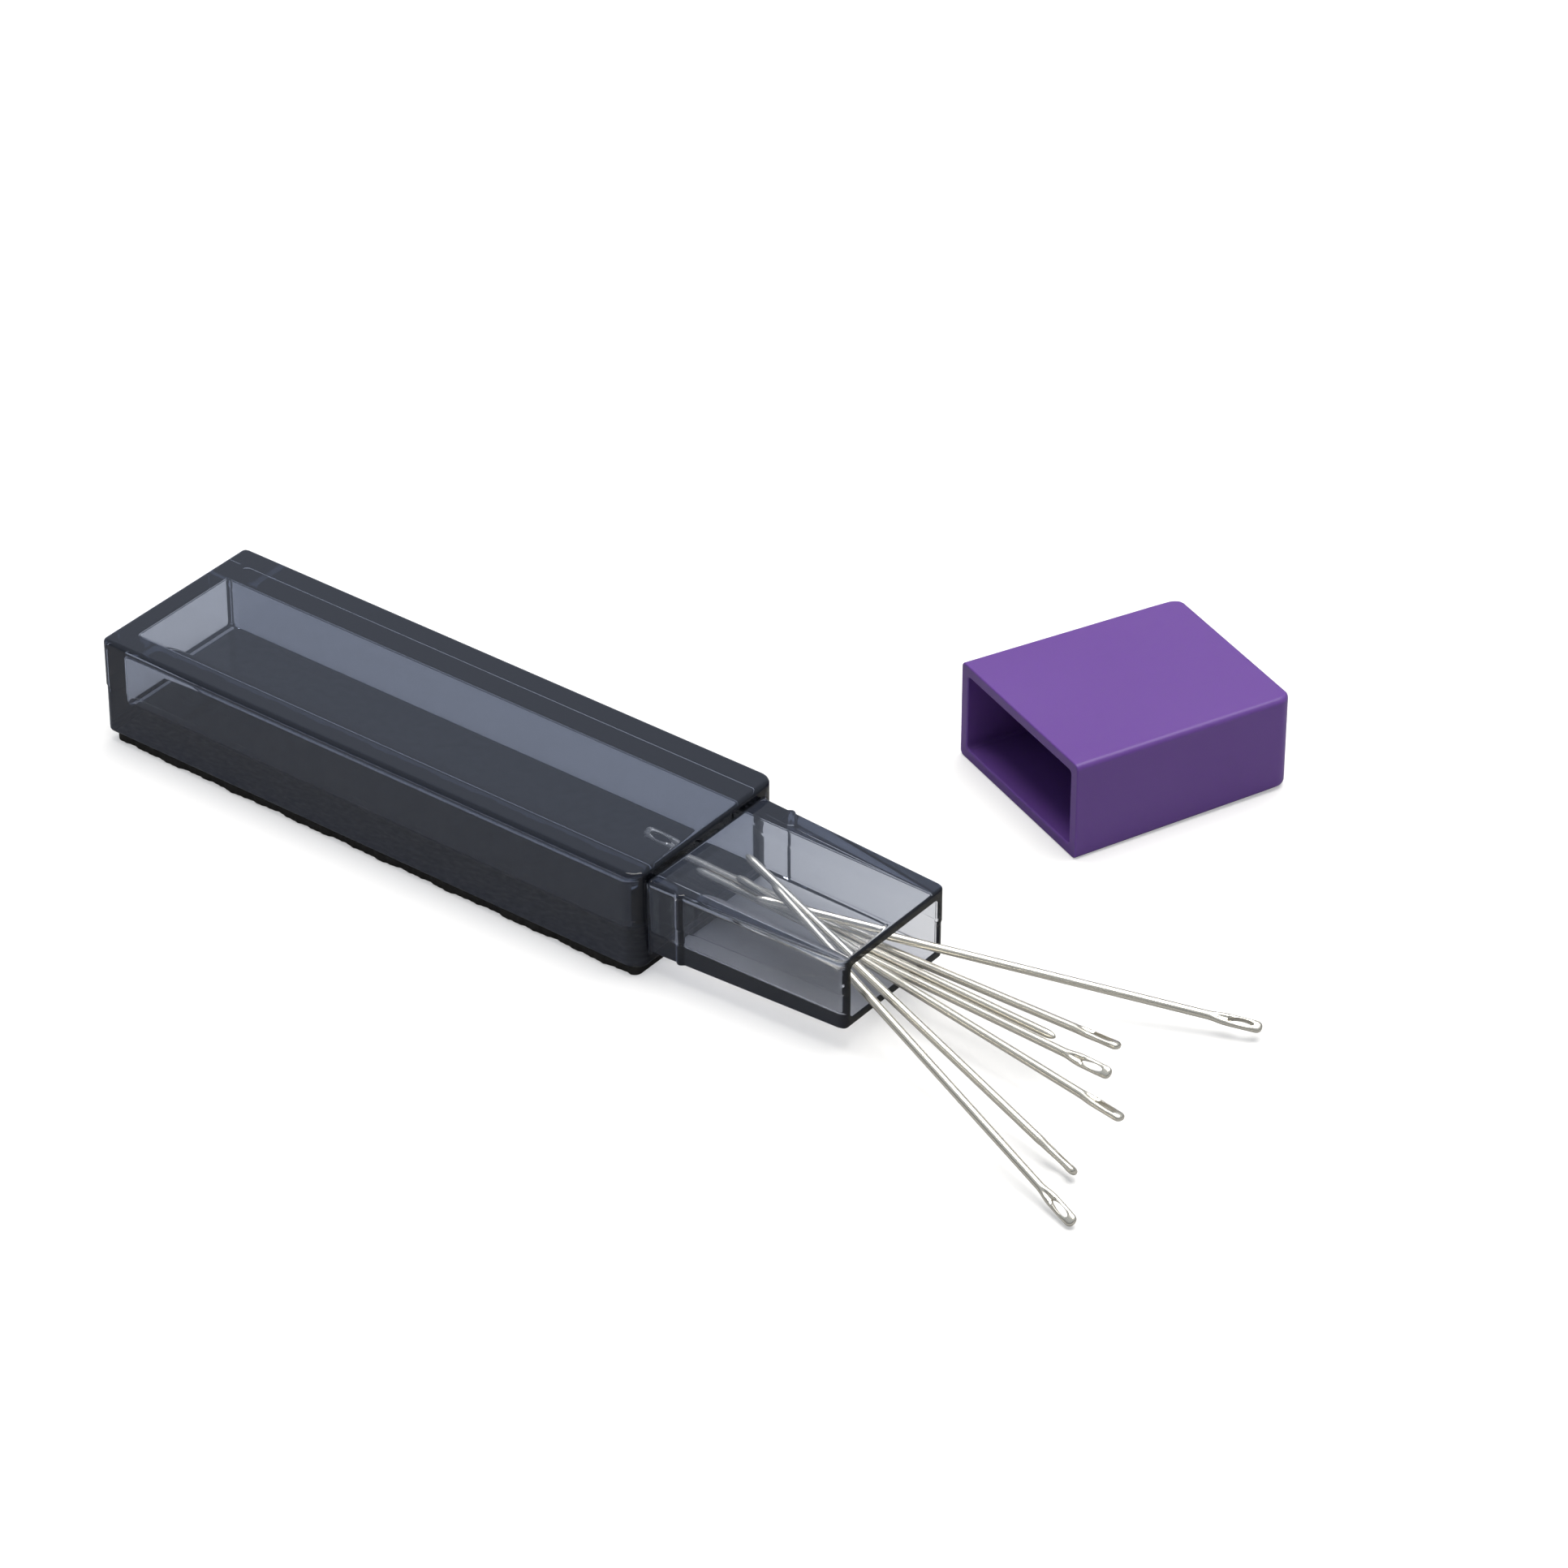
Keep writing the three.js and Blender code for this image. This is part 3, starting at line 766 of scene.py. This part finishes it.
def needle_shape(needle, long):
    """Points, quads and UVs of a needle of that length along +X from its eye end, broad on Y.
    A row is two half rings, each a superellipse from the middle of the top round the side to the middle of
    the bottom. Over the eye each half ring starts at the eye's edge: a power of a sine, with its peak bent
    towards the eye end. A groove beside that edge is a bell curve taken off the height."""
    eye_bend, eye_fullness = 0.82, 0.62
    groove_start, groove_length, groove_width = 0.5 * MM, 2.4 * MM, 0.2 * MM
    groove_bend, groove_sharpness, eye_edge_depth = 0.6, 1.2, 0.05 * MM
    most_dent = 0.7
    steps_across = 29
    s, open_row = needle_rows(needle, long)
    half_width, half_thick, power = (part[:, None] for part in needle_profile(needle, long, s))

    share = np.clip((s - needle.eye_start) / needle.eye_length, 0, 1)
    gap = needle.eye_half_width * np.sin(math.pi * share**eye_bend) ** eye_fullness
    gap = np.where(open_row, gap, 0)[:, None]
    start = np.arcsin(np.clip(gap / np.maximum(half_width, 1e-9), 0, 1) ** (1 / power))
    turn = start + (math.pi - 2 * start) * np.linspace(0, 1, steps_across + 1)
    y = half_width * np.abs(np.sin(turn)) ** power
    z = half_thick * np.sign(np.cos(turn)) * np.abs(np.cos(turn)) ** power

    eye_end = needle.eye_start + needle.eye_length
    groove_share = np.clip((s - eye_end + groove_start) / groove_length, 0, 1)
    groove = needle.groove_depth * np.sin(math.pi * groove_share**groove_bend) ** groove_sharpness
    groove = groove + np.where(open_row, eye_edge_depth, 0)
    bell = np.exp(-(((y - gap) / groove_width) ** 2))
    dent = np.minimum(groove[:, None] * bell, most_dent * half_thick)
    z = z - np.sign(z) * np.minimum(dent, np.abs(z))

    x = np.broadcast_to(s[:, None], y.shape)
    right = np.stack([x, y, z], axis=-1).reshape(-1, 3)
    points = np.concatenate([right, right * [1, -1, 1]])
    used, quads = np.unique(needle_quads(open_row, y.shape[1]), return_inverse=True)
    around = np.concatenate([turn.ravel(), 2 * math.pi - turn.ravel()]) / (2 * math.pi)
    uv = np.stack([points[:, 0] / long, around], axis=-1)
    return points[used], quads.reshape(-1, 4), uv[used]


def placed_needle(needle, node):
    """A needle's shape laid along its frame node, with its eye at the node's head: the end that is nearer to
    the centre of the surface, because the head is the broad end."""
    centre, axis, broad, low, high = surface_moments(node)
    if abs(high) < abs(low):
        axis, low, high = -axis, -high, -low
    long = high - low
    points, quads, uv = needle_shape(needle, long)
    thick = np.cross(axis, broad)
    start = centre + axis * low
    return start + points @ np.stack([axis, broad, thick]), quads, uv


# ---------------------------------------------------------------- operators


class NEEDLECASE_OT_stage(bpy.types.Operator):
    """Makes the floor, the surroundings, the light and the camera"""

    bl_idname = "needlecase.stage"
    bl_label = "Stage"

    def execute(self, context):
        stage = context.scene.needle_stage
        scene = context.scene
        scene.view_settings.view_transform = "Standard"
        self.make_floor(stage)
        self.make_surroundings(scene, stage)
        self.make_key_light(stage, place=(0.06, 0.16, 0.9), size=0.8, tone=(1, 0.97, 0.93))
        self.make_camera(scene, stage)
        return {"FINISHED"}

    def make_floor(self, stage):
        """A wide square on Z 0, as an even grid of points."""
        reach, side = 3, 9
        line = np.linspace(-reach, reach, side)
        x, y = np.meshgrid(line, line, indexing="ij")
        points = np.stack([x, y, np.zeros_like(x)], axis=-1).reshape(-1, 3)
        index = np.arange(side**2).reshape(side, side)
        corners = [index[:-1, :-1], index[1:, :-1], index[1:, 1:], index[:-1, 1:]]
        quads = np.stack(corners, axis=-1).reshape(-1, 4)
        mesh = bpy.data.meshes.new("floor")
        mesh.from_pydata(points.tolist(), [], quads.tolist())
        mesh.materials.append(floor_paint(stage))
        floor = bpy.data.objects.new("floor", mesh)
        bpy.context.scene.collection.objects.link(floor)

    def make_surroundings(self, scene, stage):
        """Soft light from all around, nearly black at the horizon and full from halfway up."""
        world = bpy.data.worlds.new("soft room")
        world.use_nodes = True
        tree = world.node_tree
        tree.nodes.clear()
        place = add_node(tree, "ShaderNodeTexCoord").outputs["Generated"]
        split = add_node(tree, "ShaderNodeSeparateXYZ")
        ramp = add_node(tree, "ShaderNodeValToRGB")
        ramp.color_ramp.elements[0].position = 0.0
        ramp.color_ramp.elements[0].color = (0.02, 0.02, 0.025, 1)
        ramp.color_ramp.elements[1].position = 0.5
        ramp.color_ramp.elements[1].color = (0.9, 0.95, 1.0, 1)
        glow = add_node(tree, "ShaderNodeBackground")
        glow.inputs["Strength"].default_value = stage.sky
        output = add_node(tree, "ShaderNodeOutputWorld")
        tree.links.new(place, split.inputs["Vector"])
        tree.links.new(split.outputs["Z"], ramp.inputs["Fac"])
        tree.links.new(ramp.outputs["Color"], glow.inputs["Color"])
        tree.links.new(glow.outputs["Background"], output.inputs["Surface"])
        scene.world = world

    def make_key_light(self, stage, place, size, tone):
        """A square area light that faces a point between the case and the cap."""
        aim = Vector((0.03, 0.01, 0))
        data = bpy.data.lights.new("key light", "AREA")
        data.size = size
        data.energy = stage.key_power
        data.color = tone
        light = bpy.data.objects.new("key light", data)
        light.location = place
        light.rotation_euler = (aim - Vector(place)).to_track_quat("-Z", "Y").to_euler()
        bpy.context.scene.collection.objects.link(light)

    def make_camera(self, scene, stage):
        """The camera stands back from its target along the direction of its azimuth and elevation."""
        turn, rise = stage.azimuth, stage.elevation
        back = Vector((math.sin(turn) * math.cos(rise), -math.cos(turn) * math.cos(rise), math.sin(rise)))
        data = bpy.data.cameras.new("camera")
        data.sensor_width = 36
        data.lens = stage.lens
        data.clip_start = 0.01
        data.clip_end = 20
        camera = bpy.data.objects.new("camera", data)
        level = Vector((math.cos(turn), math.sin(turn), 0))
        upright = back.cross(level)
        axes = Matrix((level, upright, back)).transposed()
        camera.matrix_world = (axes @ Matrix.Rotation(stage.roll, 3, "Z")).to_4x4()
        camera.location = Vector(stage.target) + back * stage.distance
        bpy.context.scene.collection.objects.link(camera)
        scene.camera = camera


class NEEDLECASE_OT_case(bpy.types.Operator):
    """Makes the transparent case"""

    bl_idname = "needlecase.case"
    bl_label = "Case body"

    def execute(self, context):
        case = context.scene.needle_case
        points, quads = case_body_shape(case)
        made = put_mesh("case_body_moulding", points, quads, smoke_plastic(case))
        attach(made, "case")
        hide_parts("case_body")
        return {"FINISHED"}


class NEEDLECASE_OT_strip(bpy.types.Operator):
    """Makes the black strip under the case"""

    bl_idname = "needlecase.strip"
    bl_label = "Base strip"

    def execute(self, context):
        points, quads = base_strip_shape()
        made = put_mesh("base_strip_ragged", points, quads, black_strip(context.scene.needle_case))
        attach(made, "case")
        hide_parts("base_strip")
        return {"FINISHED"}


class NEEDLECASE_OT_cap(bpy.types.Operator):
    """Makes the slip-on cap"""

    bl_idname = "needlecase.cap"
    bl_label = "Cap"

    def execute(self, context):
        cap = context.scene.needle_cap
        points, quads = cap_shape(cap)
        made = put_mesh("cap_moulding", points, quads, purple_plastic(cap))
        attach(made, "cap")
        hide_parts("cap")
        return {"FINISHED"}


class NEEDLECASE_OT_needles(bpy.types.Operator):
    """Makes all the needles"""

    bl_idname = "needlecase.needles"
    bl_label = "Needles"

    def execute(self, context):
        needle = context.scene.needle_needles
        steel = needle_steel(needle)
        for node in NEEDLE_NODES:
            points, quads, uv = placed_needle(needle, node)
            made = put_mesh(node + "_steel", points, quads, steel, uv)
            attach(made, node)
            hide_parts(node)
        return {"FINISHED"}


class NEEDLECASE_PT_panel(bpy.types.Panel):
    """Lists the pieces of the needle case"""

    bl_idname = "NEEDLECASE_PT_panel"
    bl_label = "Needle case"
    bl_space_type = "VIEW_3D"
    bl_region_type = "UI"
    bl_category = "Needle case"

    def draw(self, context):
        for operator in OPERATORS:
            self.layout.operator(operator.bl_idname)


SETTINGS = {
    "needle_case": CaseSettings,
    "needle_cap": CapSettings,
    "needle_needles": NeedleSettings,
    "needle_stage": StageSettings,
}
OPERATORS = (
    NEEDLECASE_OT_stage,
    NEEDLECASE_OT_case,
    NEEDLECASE_OT_strip,
    NEEDLECASE_OT_cap,
    NEEDLECASE_OT_needles,
)
CLASSES = (*SETTINGS.values(), *OPERATORS, NEEDLECASE_PT_panel)


def register():
    """Registers every class and hangs the settings on the scene."""
    for made in CLASSES:
        bpy.utils.register_class(made)
    for name, group in SETTINGS.items():
        setattr(bpy.types.Scene, name, bpy.props.PointerProperty(type=group))


def unregister():
    """Takes the settings and every class away again."""
    for name in SETTINGS:
        delattr(bpy.types.Scene, name)
    for made in reversed(CLASSES):
        bpy.utils.unregister_class(made)


def main():
    """Builds the stage and every piece."""
    register()
    bpy.ops.needlecase.stage()
    bpy.ops.needlecase.case()
    bpy.ops.needlecase.strip()
    bpy.ops.needlecase.cap()
    bpy.ops.needlecase.needles()


if __name__ == "__main__":
    main()
